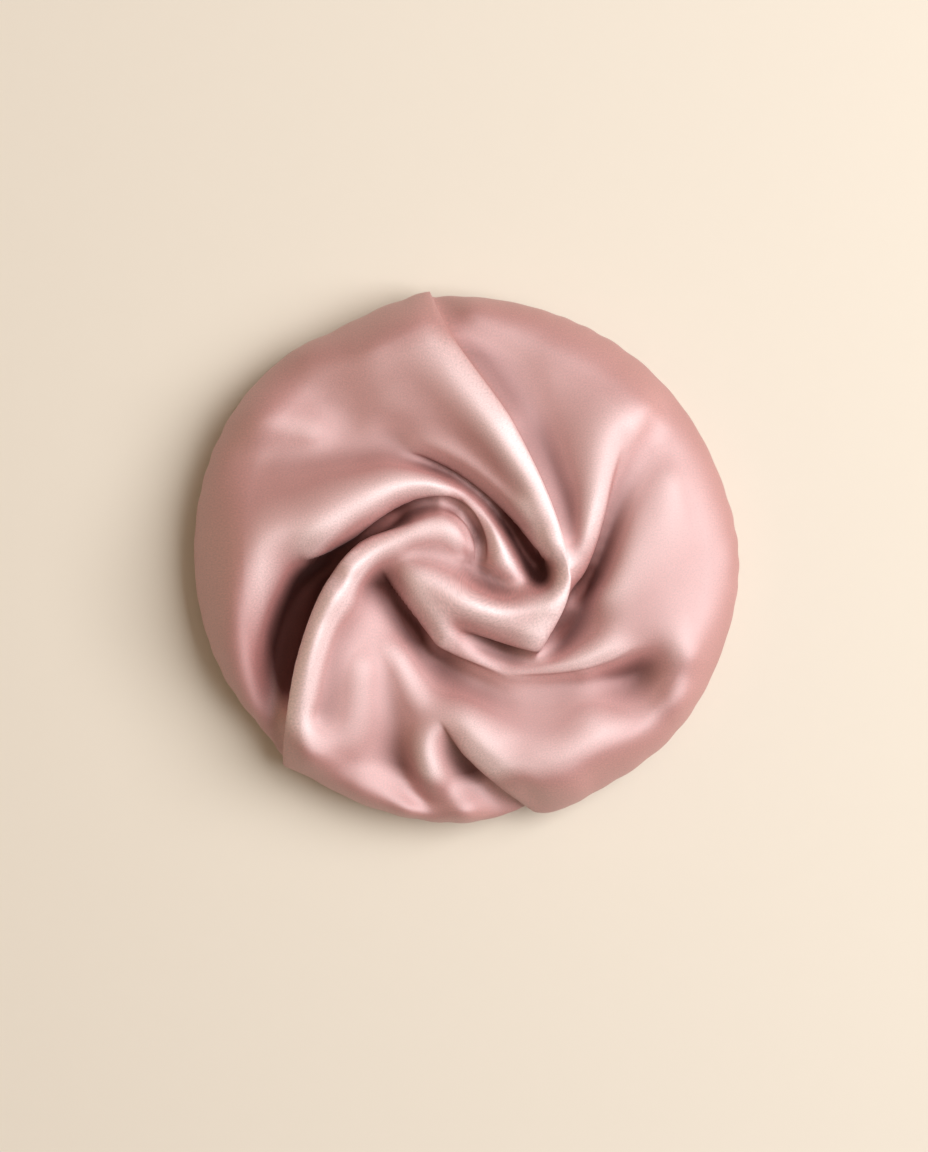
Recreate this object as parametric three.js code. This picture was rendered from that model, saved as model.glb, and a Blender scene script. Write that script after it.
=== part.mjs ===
// Sleep bonnet lying crown up: one gathered circle of satin, twisted into swirling folds,
// over a plain elastic casing. Sizes in millimetres, +Z up, the floor at zero.
import * as THREE from "three";

// Main sizes
const SIDE_COUNT = 82; // steps around the bonnet
const TOP_ROWS = 17; // rings over the folded top
const RIM_ROWS = 4; // rings over the rounded rim
const TUCK_ROWS = 3; // rings where the cloth turns under
const BASE_ROWS = 2; // rings along the floor, in to the casing
const CLOTH = 2; // thickness of the satin wall
const STEEP_LIMIT = 1.7; // how much deeper the wall may measure on a steep fold
const RIM_HEIGHT = 19; // height of the widest line
const TUCK_ROUND = 18; // how far in the turned-under cloth meets the floor
const UNDERSIDE = 0.8; // gap between the cloth and the floor
const SHOULDER = 46; // height of the top just inside the rim
const SWIRL = { x: 4, y: -15, turn: (105 * Math.PI) / 180, bend: 1.5 };
const GAP = 0.4; // gap between the crown and the casing
const CASING = { outer: 85, inner: 80, height: 13, corner: 1.6 };
const COLOURS = { satin: 0xd8a39b, casing: 0xcd968e };

// How the height of the top is spread between the fold lines
const SPREAD = 7; // roundness of the cloth over a line
const EDGE_SPREAD = 5; // the same at a fold edge
const EASE = 1.2; // how far the cloth may leave a line to stay smooth
const STEP = 8; // spacing of the points taken along a line
const CLEAR = 3.4; // closest two points may be
const HALF_FACE = 2.2; // half the width of the steep face at a fold edge
const DEEPEST = 22; // level no valley goes below
const DEEP_EASE = 4; // how gently a valley reaches that level

// Widest line of the bonnet: angle in degrees, its radius, how far in from it the rim starts to turn
const OUTLINE = [
  { deg: 0, radius: 149, turn: 18 },
  { deg: 20, radius: 145.5, turn: 20 },
  { deg: 50, radius: 144, turn: 22 },
  { deg: 75, radius: 143, turn: 24 },
  { deg: 96, radius: 145.5, turn: 22 },
  { deg: 99, radius: 148.5, turn: 20 },
  { deg: 105, radius: 147, turn: 22 },
  { deg: 120, radius: 145.5, turn: 24 },
  { deg: 130, radius: 149.5, turn: 24 },
  { deg: 150, radius: 152.5, turn: 26 },
  { deg: 180, radius: 150.5, turn: 30 },
  { deg: 205, radius: 149, turn: 22 },
  { deg: 222, radius: 147, turn: 14 },
  { deg: 228, radius: 151, turn: 16 },
  { deg: 235, radius: 148, turn: 18 },
  { deg: 250, radius: 146.5, turn: 20 },
  { deg: 270, radius: 145, turn: 20 },
  { deg: 284, radius: 140.8, turn: 20 },
  { deg: 289, radius: 146.5, turn: 20 },
  { deg: 300, radius: 146, turn: 20 },
  { deg: 320, radius: 149, turn: 20 },
  { deg: 340, radius: 148.5, turn: 18 },
];

// Rolls and valleys of the top: four stations [x, y, z] along each
const LINES = [
  { name: "left_roll_low", at: [[-127, -92, 37], [-131, -55, 48], [-127, -18, 56], [-104, 13, 61]] },
  { name: "left_roll_face", at: [[-113, -86, 33], [-117, -56, 41], [-112, -26, 48], [-98, -2, 51]] },
  { name: "left_roll_high", at: [[-98, 20, 61], [-75, 33, 62], [-48, 41, 62], [-14, 40, 60]] },
  { name: "inner_roll", at: [[-6, 37.5, 60], [6, 29, 58], [18, 12, 55], [29, -9, 52]] },
  { name: "lower_roll", at: [[-80, -33, 60], [-66, -8, 60], [-46, 7, 58], [-26, 12, 57]] },
  { name: "lower_roll_end", at: [[-20, 11, 56], [-14, 11.5, 55.5], [-8, 11, 55], [-3, 8, 54]] },
  { name: "saddle", at: [[-38, 1, 54], [-20, -8, 59], [4, -22, 61], [46, -22, 60]] },
  { name: "saddle_low", at: [[-41, -8, 50], [-26, -21, 56], [0, -32, 59], [42, -32, 58]] },
  { name: "top_flap_crown", at: [[-52, 112, 54], [-24, 88, 59], [6, 60, 62], [34, 26, 64]] },
  { name: "top_flap_shoulder", at: [[-44, 84, 54], [-12, 66, 57], [14, 46, 58], [38, 16, 60]] },
  { name: "right_ridge", at: [[104, 93, 47], [88, 80, 58], [74, 54, 63], [65, 28, 62]] },
  { name: "right_panel_rise", at: [[106, 76, 48], [92, 44, 53], [83, 12, 54], [70, -20, 51]] },
  { name: "right_panel", at: [[112, 44, 53], [108, 18, 56], [100, -10, 56], [87, -34, 54]] },
  { name: "right_rim_roll", at: [[122, 70, 46], [134, 32, 46], [138, -10, 45], [131, -50, 45]] },
  { name: "corner_roll", at: [[124, -62, 47], [117, -90, 46], [94, -112, 43], [70, -124, 40]] },
  { name: "lower_panel", at: [[78, -98, 52], [60, -104, 55], [42, -109, 55], [24, -106, 54]] },
  { name: "lower_ridge", at: [[22, -93, 53], [4, -85, 53], [-6, -83, 52], [-14, -89, 50]] },
  { name: "small_roll", at: [[-19, -94, 51], [-25, -104, 49], [-24, -118, 44], [-16, -132, 34]] },
  { name: "left_flap_crown", at: [[-82, -86, 49], [-80, -70, 53], [-77, -50, 57], [-68, -30, 58]] },
  { name: "left_flap_foot", at: [[-66, -114, 41], [-60, -96, 46], [-57, -78, 49], [-55, -58, 51]] },
  { name: "between_ridge", at: [[-24, -88, 47], [-29, -74, 47], [-32, -62, 46], [-40, -48, 45]] },
  { name: "west_crest", at: [[-130, 70, 46], [-119, 77, 50], [-104, 73, 50], [-84, 67, 50]] },
  { name: "top_valley_soft", at: [[-108, 102, 43], [-93, 95, 44], [-76, 84, 46], [-60, 74, 48]] },
  { name: "top_valley_mid", at: [[-60, 74, 50], [-51, 69, 49.5], [-43, 64.5, 49.5], [-36, 60.5, 50]] },
  { name: "top_valley_deep", at: [[29, 10, 40], [33, 3, 40], [38, -5, 41], [43, -11, 45]] },
  { name: "west_valley", at: [[-122, 55, 44], [-100, 57, 47], [-76, 57, 49], [-54, 55, 51]] },
  { name: "hollow_west", at: [[-64, 7, 36], [-52, 15, 42], [-38, 22, 46], [-19, 27.5, 47]] },
  { name: "hollow_east", at: [[-9, 26.5, 47], [2, 20, 45], [7.5, 9, 44], [6, -4, 47]] },
  { name: "dimple", at: [[6, -9, 47], [14, -14, 48], [24, -16, 50], [36, -16, 54]] },
  { name: "lower_crease", at: [[-60, -17, 54], [-47, -4, 51], [-29, 2, 53], [-9, 1, 51]] },
  { name: "dark_valley_top", at: [[-71, 3, 31], [-78, -8, 26], [-86, -22, 23], [-91, -38, 23]] },
  { name: "dark_valley_low", at: [[-95, -54, 24], [-99, -70, 26], [-102, -86, 27], [-105, -100, 25]] },
  { name: "middle_valley", at: [[-53, -15, 46], [-42, -29, 39], [-26, -45, 35], [-1, -62, 39]] },
  { name: "rose_valley", at: [[8, -69, 41], [22, -77, 45], [38, -85, 48], [54, -89, 51]] },
  { name: "foot_valley", at: [[-50, -46, 46], [-43, -74, 44], [-36, -100, 39], [-25, -132, 28]] },
  { name: "top_bowl", at: [[44, 122, 46], [44, 96, 51], [47, 66, 55], [53, 32, 56]] },
  { name: "right_tuck", at: [[97, 68, 52], [82, 36, 53], [73, 4, 48], [63, -24, 44]] },
  { name: "right_soft", at: [[105, 84, 46], [113, 62, 48], [119, 38, 50], [124, 10, 50]] },
  { name: "crevice", at: [[58, -30, 42], [52, -38, 42], [45, -45, 43], [36, -54, 44]] },
  { name: "east_dip", at: [[66, -62, 46], [75, -62, 42], [84, -61, 39], [94, -58, 40]] },
  { name: "east_wall", at: [[110, -34, 53], [118, -48, 53], [121, -64, 52], [116, -84, 50]] },
  { name: "south_wall", at: [[66, -85, 51], [84, -91, 50], [100, -93, 47], [111, -90, 46]] },
];

// Fold edges: four stations [x, y, z] on the upper cloth and the drop below each
const EDGES = [
  {
    name: "top_flap_rim",
    at: [[-22, 152, 30], [-13, 127, 50], [4, 101, 60], [22, 75, 66]],
    drop: [8, 8, 8, 9],
    upper: "right",
  },
  {
    name: "top_flap_side",
    at: [[22, 75, 66], [37, 45, 68], [49, 14, 68], [54, -8, 65]],
    drop: [9, 11, 11, 9],
    upper: "right",
  },
  {
    name: "top_flap_tip",
    at: [[54, -8, 65], [52.5, -21, 63], [47, -34, 59], [38, -50, 54]],
    drop: [9, 15, 15, 8],
    upper: "right",
  },
  {
    name: "tip_under",
    at: [[33, -48.8, 54], [21, -45.5, 53], [8, -41.5, 52], [-6, -39, 51]],
    drop: [9, 11, 9, 0],
    upper: "right",
  },
  {
    name: "centre_flap",
    at: [[-47, -6, 48], [-36, -21, 51], [-26, -34, 51], [-17, -46, 49]],
    drop: [3, 13, 15, 13],
    upper: "left",
  },
  {
    name: "centre_corner",
    at: [[-17, -46, 49], [-6, -52, 48], [6, -57.5, 47], [19, -63, 46]],
    drop: [13, 9, 5, 2],
    upper: "left",
  },
  {
    name: "left_flap_rim",
    at: [[-102, -120, 20], [-99, -98, 44], [-96, -77, 53], [-92, -56, 58]],
    drop: [8, 16, 24, 30],
    upper: "right",
  },
  {
    name: "left_flap_side",
    at: [[-92, -56, 58], [-84, -31, 61], [-73, -9, 60], [-58, 8, 56]],
    drop: [30, 30, 26, 12],
    upper: "right",
  },
  {
    name: "left_flap_top",
    at: [[-58, 8, 56], [-42, 15.5, 56], [-28, 20.5, 56], [-14, 26, 54]],
    drop: [12, 6, 2, 1],
    upper: "right",
  },
  {
    name: "lower_roll_round",
    at: [[-14, 26, 54], [-6, 23, 54], [1, 14, 53], [3, -2, 48]],
    drop: [1, 6, 11, 0],
    upper: "right",
  },
  {
    name: "left_roll_edge",
    at: [[-86, 0, 51], [-62, 12, 57], [-36, 29, 58], [-11, 34, 57]],
    drop: [10, 17, 12, 10],
    upper: "left",
  },
  {
    name: "inner_roll_edge",
    at: [[-11, 34, 57], [1, 28, 56], [9, 14, 53], [9, -3, 50]],
    drop: [10, 11, 8, 0],
    upper: "left",
  },
  {
    name: "right_fold",
    at: [[96, 84, 54], [79, 48, 61], [69, 10, 60], [60, -12, 56]],
    drop: [0, 4, 14, 15],
    upper: "right",
  },
  {
    name: "right_fold_end",
    at: [[60, -12, 56], [57, -19, 54], [54, -26, 51], [50, -33, 48]],
    drop: [15, 11, 6, 0],
    upper: "right",
  },
  {
    name: "flap_valley_wall",
    at: [[-31, 57, 52], [-7, 47.5, 56], [17, 28.5, 59], [41, 0, 60]],
    drop: [2, 13, 20, 20],
    upper: "left",
  },
  {
    name: "right_crease",
    at: [[20, -63, 46], [45, -62, 50], [68, -58, 52], [90, -48, 51]],
    drop: [1, 5, 6, 1],
    upper: "left",
  },
  {
    name: "foot_fold",
    at: [[-14, -89, 51], [0, -107, 50], [20, -125, 42], [46, -146, 22]],
    drop: [3, 11, 14, 8],
    upper: "left",
  },
];

// Weight of each of four stations at the share u along a line, by their spacing
function stationWeights(stops, u) {
  return stops.map((own, i) =>
    stops.reduce((weight, other, j) => (i === j ? weight : (weight * (u - other)) / (own - other)), 1),
  );
}

// Points along the curve through a row's stations, about STEP apart; each has x, y, z, drop and spread
function walk(row) {
  const lengths = [1, 2, 3].map((i) => {
    const [from, to] = [row.at[i - 1], row.at[i]];
    return Math.hypot(to[0] - from[0], to[1] - from[1]);
  });
  const total = lengths.reduce((sum, length) => sum + length, 0);
  const stops = [0, lengths[0] / total, (lengths[0] + lengths[1]) / total, 1];
  const drop = row.drop ?? [0, 0, 0, 0];
  const count = Math.max(2, Math.ceil(total / STEP) + 1);
  const points = [];
  for (let k = 0; k < count; k += 1) {
    const weights = stationWeights(stops, k / (count - 1));
    const mix = (pick) => weights.reduce((sum, weight, i) => sum + weight * pick(i), 0);
    points.push({
      x: mix((i) => row.at[i][0]),
      y: mix((i) => row.at[i][1]),
      z: mix((i) => row.at[i][2]),
      drop: mix((i) => drop[i]),
      spread: SPREAD,
    });
  }
  return points;
}

// The two lines of points that make a steep face: top of the face, then foot of it
function facePoints(row) {
  const line = walk(row);
  const turn = row.upper === "left" ? 1 : -1;
  const faces = [];
  line.forEach((point, k) => {
    const before = line[Math.max(0, k - 1)];
    const after = line[Math.min(line.length - 1, k + 1)];
    const length = Math.hypot(after.x - before.x, after.y - before.y);
    const nx = (-(after.y - before.y) / length) * turn * HALF_FACE;
    const ny = ((after.x - before.x) / length) * turn * HALF_FACE;
    faces.push({ x: point.x + nx, y: point.y + ny, z: point.z, spread: EDGE_SPREAD });
    faces.push({ x: point.x - nx, y: point.y - ny, z: point.z - point.drop, spread: EDGE_SPREAD });
  });
  return faces;
}

// One column of OUTLINE at an angle in radians, as a smooth closed curve through the rows
function outlineValue(angle, column) {
  const count = OUTLINE.length;
  const degrees = (((angle * 180) / Math.PI) % 360 + 360) % 360;
  let i = count - 1;
  while (OUTLINE[i].deg > degrees) i -= 1;
  const knot = (k) => ({
    deg: OUTLINE[(k + count) % count].deg + 360 * Math.floor(k / count),
    value: OUTLINE[(k + count) % count][column],
  });
  const [p, q, r, s] = [knot(i - 1), knot(i), knot(i + 1), knot(i + 2)];
  const span = r.deg - q.deg;
  const t = (degrees - q.deg) / span;
  const leave = ((r.value - p.value) / (r.deg - p.deg)) * span;
  const arrive = ((s.value - q.value) / (s.deg - q.deg)) * span;
  const t2 = t * t;
  const t3 = t2 * t;
  const ends = (2 * t3 - 3 * t2 + 1) * q.value + (3 * t2 - 2 * t3) * r.value;
  return ends + (t3 - 2 * t2 + t) * leave + (t3 - t2) * arrive;
}

// Every point the top passes through: lines, faces, then a ring at the shoulder where there is room
function anchorPoints() {
  const wanted = [...LINES.flatMap(walk), ...EDGES.flatMap(facePoints)];
  const ringCount = 28;
  for (let k = 0; k < ringCount; k += 1) {
    const angle = (2 * Math.PI * k) / ringCount;
    const radius = 0.97 * outlineValue(angle, "radius");
    const point = { x: radius * Math.cos(angle), y: radius * Math.sin(angle), z: SHOULDER, spread: SPREAD };
    const nearest = Math.min(...wanted.map((other) => Math.hypot(other.x - point.x, other.y - point.y)));
    if (nearest > 7) wanted.push(point);
  }
  const kept = [];
  for (const point of wanted) {
    if (kept.every((other) => Math.hypot(other.x - point.x, other.y - point.y) > CLEAR)) kept.push(point);
  }
  return kept;
}

// Solves a square set of linear equations by elimination with row exchange
function solve(rows, right) {
  const n = right.length;
  for (let k = 0; k < n; k += 1) {
    let best = k;
    for (let i = k + 1; i < n; i += 1) if (Math.abs(rows[i][k]) > Math.abs(rows[best][k])) best = i;
    [rows[k], rows[best]] = [rows[best], rows[k]];
    [right[k], right[best]] = [right[best], right[k]];
    for (let i = k + 1; i < n; i += 1) {
      const share = rows[i][k] / rows[k][k];
      if (share === 0) continue;
      for (let j = k; j < n; j += 1) rows[i][j] -= share * rows[k][j];
      right[i] -= share * right[k];
    }
  }
  for (let k = n - 1; k >= 0; k -= 1) {
    for (let j = k + 1; j < n; j += 1) right[k] -= rows[k][j] * right[j];
    right[k] /= rows[k][k];
  }
  return right;
}

// Keeps a height above the deepest level, easing towards it
function lift(height) {
  return DEEPEST + DEEP_EASE * Math.log1p(Math.exp((height - DEEPEST) / DEEP_EASE));
}

// A smooth height through all the anchor points, as a function of x and y
function makeRelief() {
  const anchors = anchorPoints();
  const n = anchors.length;
  const reach = (ax, ay, b) => Math.sqrt((ax - b.x) ** 2 + (ay - b.y) ** 2 + b.spread ** 2);
  const rows = anchors.map((a, i) => {
    const toEach = anchors.map((b, j) => reach(a.x, a.y, b) - (i === j ? EASE : 0));
    return [...toEach, 1];
  });
  rows.push([...anchors.map(() => 1), 0]);
  const weights = solve(rows, [...anchors.map((a) => a.z), 0]);
  return (x, y) => lift(anchors.reduce((sum, b, i) => sum + weights[i] * reach(x, y, b), weights[n]));
}

// The rings of the crown from its middle to the casing; each point has an outer and an inner place
function crownRings(relief) {
  const angles = Array.from({ length: SIDE_COUNT }, (_, k) => (2 * Math.PI * k) / SIDE_COUNT);
  const slopeAt = (x, y) => {
    const reach = 2;
    const dx = (relief(x + reach, y) - relief(x - reach, y)) / (2 * reach);
    const dy = (relief(x, y + reach) - relief(x, y - reach)) / (2 * reach);
    return Math.min(STEEP_LIMIT, Math.hypot(dx, dy, 1));
  };
  const topPoint = (x, y) => {
    const z = relief(x, y);
    return { outer: [x, y, z], inner: [x, y, z - CLOTH * slopeAt(x, y)] };
  };
  const rings = [];
  for (let row = 1; row <= TOP_ROWS; row += 1) {
    const share = row / TOP_ROWS;
    const turn = SWIRL.turn * (1 - share) ** SWIRL.bend;
    rings.push(
      angles.map((angle) => {
        const swung = angle - turn;
        const radius = (outlineValue(swung, "radius") - outlineValue(swung, "turn")) * share;
        const x = SWIRL.x * (1 - share) + radius * Math.cos(swung);
        const y = SWIRL.y * (1 - share) + radius * Math.sin(swung);
        return topPoint(x, y);
      }),
    );
  }
  for (let row = 1; row <= RIM_ROWS; row += 1) {
    const lean = ((row / RIM_ROWS) * Math.PI) / 2;
    rings.push(
      angles.map((angle) => {
        const radius = outlineValue(angle, "radius") - outlineValue(angle, "turn") * (1 - Math.sin(lean));
        const x = radius * Math.cos(angle);
        const y = radius * Math.sin(angle);
        const z = RIM_HEIGHT + (relief(x, y) - RIM_HEIGHT) * Math.cos(lean);
        const inset = (radius - CLOTH * Math.sin(lean)) / radius;
        const lower = CLOTH * (slopeAt(x, y) * Math.cos(lean) ** 2);
        return { outer: [x, y, z], inner: [x * inset, y * inset, z - lower] };
      }),
    );
  }
  for (let row = 1; row <= TUCK_ROWS; row += 1) {
    const lean = ((row / TUCK_ROWS) * Math.PI) / 2;
    rings.push(
      angles.map((angle) => {
        const radius = outlineValue(angle, "radius") - TUCK_ROUND * (1 - Math.cos(lean));
        const z = RIM_HEIGHT - (RIM_HEIGHT - UNDERSIDE) * Math.sin(lean);
        const inner = radius - CLOTH * Math.cos(lean);
        return {
          outer: [radius * Math.cos(angle), radius * Math.sin(angle), z],
          inner: [inner * Math.cos(angle), inner * Math.sin(angle), z + CLOTH * Math.sin(lean)],
        };
      }),
    );
  }
  for (let row = 1; row <= BASE_ROWS; row += 1) {
    const share = row / BASE_ROWS;
    rings.push(
      angles.map((angle) => {
        const tucked = outlineValue(angle, "radius") - TUCK_ROUND;
        const radius = tucked * (1 - share) + (CASING.outer + GAP) * share;
        const x = radius * Math.cos(angle);
        const y = radius * Math.sin(angle);
        return { outer: [x, y, UNDERSIDE], inner: [x, y, UNDERSIDE + CLOTH] };
      }),
    );
  }
  return rings;
}

// A closed mesh from two stacks of rings with a shared pole each, joined at the last ring
function shellGeometry(rings, pole) {
  const places = [];
  const faces = [];
  const count = rings[0].length;
  const addSkin = (side, poleAt, flip) => {
    const first = places.length / 3;
    places.push(...poleAt);
    for (const ring of rings) for (const point of ring) places.push(...point[side]);
    const at = (row, k) => first + 1 + row * count + (k % count);
    const face = (a, b, c) => faces.push(...(flip ? [a, c, b] : [a, b, c]));
    for (let k = 0; k < count; k += 1) {
      face(first, at(0, k), at(0, k + 1));
      for (let row = 0; row < rings.length - 1; row += 1) {
        face(at(row, k), at(row + 1, k), at(row + 1, k + 1));
        face(at(row, k), at(row + 1, k + 1), at(row, k + 1));
      }
    }
    return at;
  };
  const outer = addSkin("outer", pole.outer, false);
  const inner = addSkin("inner", pole.inner, true);
  const last = rings.length - 1;
  for (let k = 0; k < count; k += 1) {
    faces.push(outer(last, k), inner(last, k), inner(last, k + 1));
    faces.push(outer(last, k), inner(last, k + 1), outer(last, k + 1));
  }
  const geometry = new THREE.BufferGeometry();
  geometry.setAttribute("position", new THREE.Float32BufferAttribute(places, 3));
  geometry.setIndex(faces);
  return geometry;
}

// The satin crown, hollow and open underneath
function makeCrown() {
  const relief = makeRelief();
  const middle = relief(SWIRL.x, SWIRL.y);
  const pole = { outer: [SWIRL.x, SWIRL.y, middle], inner: [SWIRL.x, SWIRL.y, middle - CLOTH] };
  return shellGeometry(crownRings(relief), pole);
}

// The elastic casing: a flat-bottomed ring with softened corners around the head opening
function makeCasing() {
  const { outer, inner, height, corner } = CASING;
  const section = [
    [inner + corner, 0],
    [outer - corner, 0],
    [outer, corner],
    [outer, height - corner],
    [outer - corner, height],
    [inner + corner, height],
    [inner, height - corner],
    [inner, corner],
  ];
  const places = [];
  const faces = [];
  for (let k = 0; k < SIDE_COUNT; k += 1) {
    const angle = (2 * Math.PI * k) / SIDE_COUNT;
    for (const [radius, z] of section) places.push(radius * Math.cos(angle), radius * Math.sin(angle), z);
  }
  const at = (k, i) => (k % SIDE_COUNT) * section.length + (i % section.length);
  for (let k = 0; k < SIDE_COUNT; k += 1) {
    for (let i = 0; i < section.length; i += 1) {
      faces.push(at(k, i), at(k + 1, i), at(k + 1, i + 1));
      faces.push(at(k, i), at(k + 1, i + 1), at(k, i + 1));
    }
  }
  const geometry = new THREE.BufferGeometry();
  geometry.setAttribute("position", new THREE.Float32BufferAttribute(places, 3));
  geometry.setIndex(faces);
  return geometry;
}

// Puts a geometry into a named mesh with its own material
function named(name, geometry, colour, roughness) {
  const material = new THREE.MeshStandardMaterial({ color: colour, roughness, metalness: 0 });
  const mesh = new THREE.Mesh(geometry, material);
  mesh.name = name;
  return mesh;
}

const bonnet = new THREE.Group();
bonnet.name = "sleep_bonnet";
bonnet.add(named("crown", makeCrown(), COLOURS.satin, 0.45));
bonnet.add(named("elastic_casing", makeCasing(), COLOURS.casing, 0.55));

export default bonnet;
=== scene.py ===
"""Sleep bonnet: a gathered circle of satin twisted into swirling folds, lying over its elastic casing."""

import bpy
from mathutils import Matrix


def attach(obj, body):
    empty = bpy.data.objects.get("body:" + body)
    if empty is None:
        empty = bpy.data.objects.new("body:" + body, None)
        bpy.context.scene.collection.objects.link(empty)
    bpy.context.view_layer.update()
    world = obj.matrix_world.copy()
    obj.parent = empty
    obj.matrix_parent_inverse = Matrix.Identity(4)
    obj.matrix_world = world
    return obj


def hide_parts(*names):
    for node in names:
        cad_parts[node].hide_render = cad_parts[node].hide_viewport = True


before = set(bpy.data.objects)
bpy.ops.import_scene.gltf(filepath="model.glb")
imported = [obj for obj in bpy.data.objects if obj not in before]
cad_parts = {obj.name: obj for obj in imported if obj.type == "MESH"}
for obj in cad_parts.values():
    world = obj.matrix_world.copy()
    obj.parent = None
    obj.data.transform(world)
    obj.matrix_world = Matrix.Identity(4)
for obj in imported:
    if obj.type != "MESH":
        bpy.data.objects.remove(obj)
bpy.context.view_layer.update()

import logging
import math
from dataclasses import dataclass
from enum import Enum

import bpy
import numpy as np
from mathutils import Vector

LOG = logging.getLogger("bonnet")
MM = 0.001
Colour = tuple[float, float, float, float]
Point = tuple[float, float, float]
Stations = tuple[Point, Point, Point, Point]


def srgb(red: float, green: float, blue: float) -> Colour:
    """Turns a display colour of 0 to 255 a channel into a linear one.

    Args:
        red: Red channel.
        green: Green channel.
        blue: Blue channel.

    Returns:
        The linear colour with full alpha.
    """
    linear = []
    for channel in (red, green, blue):
        share = channel / 255
        linear.append(share / 12.92 if share <= 0.04045 else ((share + 0.055) / 1.055) ** 2.4)
    return (linear[0], linear[1], linear[2], 1.0)


# ---------------------------------------------------------------- shader graph


class Wire:
    """A number socket in a material; arithmetic on it adds Math nodes."""

    def __init__(self, graph: "Graph", socket: bpy.types.NodeSocket) -> None:
        """Keeps the graph and the socket.

        Args:
            graph: The graph that the socket is in.
            socket: An output socket.
        """
        self.graph = graph
        self.socket = socket

    def _join(self, operation: str, first: "Wire | float", second: "Wire | float") -> "Wire":
        """Adds one Math node over two values.

        Args:
            operation: The Math node's operation.
            first: Its first value.
            second: Its second value.

        Returns:
            The node's output.
        """
        return self.graph.add("ShaderNodeMath", {"operation": operation}, {0: first, 1: second})

    def __add__(self, other: "Wire | float") -> "Wire":
        """Sum."""
        return self._join("ADD", self, other)

    __radd__ = __add__

    def __sub__(self, other: "Wire | float") -> "Wire":
        """Difference."""
        return self._join("SUBTRACT", self, other)

    def __rsub__(self, other: float) -> "Wire":
        """Difference the other way round."""
        return self._join("SUBTRACT", other, self)

    def __mul__(self, other: "Wire | float") -> "Wire":
        """Product."""
        return self._join("MULTIPLY", self, other)

    __rmul__ = __mul__

    def __pow__(self, power: float) -> "Wire":
        """Power."""
        return self._join("POWER", self, power)

    def wave(self) -> "Wire":
        """Sine of the value in radians."""
        return self.graph.add("ShaderNodeMath", {"operation": "SINE"}, {0: self})

    def clamp(self) -> "Wire":
        """The value kept from 0 to 1."""
        return self.graph.add("ShaderNodeClamp", {}, {"Value": self})


class Graph:
    """The node tree of one material."""

    def __init__(self, name: str) -> None:
        """Makes an empty material.

        Args:
            name: The material's name.
        """
        self.material = bpy.data.materials.new(name)
        self.material.use_nodes = True
        self.tree = self.material.node_tree
        self.tree.nodes.clear()

    def add(self, kind: str, settings: dict, values: dict, output: int | str = 0) -> Wire:
        """Adds a node, sets it up, then fills its sockets.

        Args:
            kind: The node's type.
            settings: Properties by name, set before the sockets.
            values: Sockets by index or name, to a wire or a constant.
            output: The output wanted.

        Returns:
            The chosen output.
        """
        node = self.tree.nodes.new(kind)
        for key, value in settings.items():
            setattr(node, key, value)
        for key, value in values.items():
            if isinstance(value, Wire):
                self.tree.links.new(value.socket, node.inputs[key])
            else:
                node.inputs[key].default_value = value
        return Wire(self, node.outputs[output])

    def blend(
        self, share: "Wire | float", first: "Wire | Colour", second: "Wire | Colour", how: str = "MIX"
    ) -> Wire:
        """Mixes two colours.

        Args:
            share: How much of the second, from 0 to 1.
            first: First colour.
            second: Second colour.
            how: The blend type.

        Returns:
            The mixed colour.
        """
        settings = {"data_type": "RGBA", "blend_type": how}
        return self.add("ShaderNodeMix", settings, {0: share, 6: first, 7: second}, 2)

    def noise(self, place: Wire, scale: float, detail: float = 2.0, roughness: float = 0.66) -> Wire:
        """Adds a noise texture.

        Args:
            place: Coordinates.
            scale: Size of the grain, per unit of the coordinates.
            detail: Number of octaves.
            roughness: Strength of the small octaves.

        Returns:
            The noise value, from 0 to 1.
        """
        values = {"Vector": place, "Scale": scale, "Detail": detail, "Roughness": roughness}
        return self.add("ShaderNodeTexNoise", {}, values, "Fac")

    def surface(self, values: dict) -> bpy.types.Material:
        """Finishes the material with one Principled shader.

        Args:
            values: The shader's sockets.

        Returns:
            The finished material.
        """
        shader = self.add("ShaderNodeBsdfPrincipled", {}, values)
        self.add_output(shader)
        return self.material

    def add_output(self, shader: Wire) -> None:
        """Ends the tree.

        Args:
            shader: The shader to show.
        """
        node = self.tree.nodes.new("ShaderNodeOutputMaterial")
        self.tree.links.new(shader.socket, node.inputs["Surface"])


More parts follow.
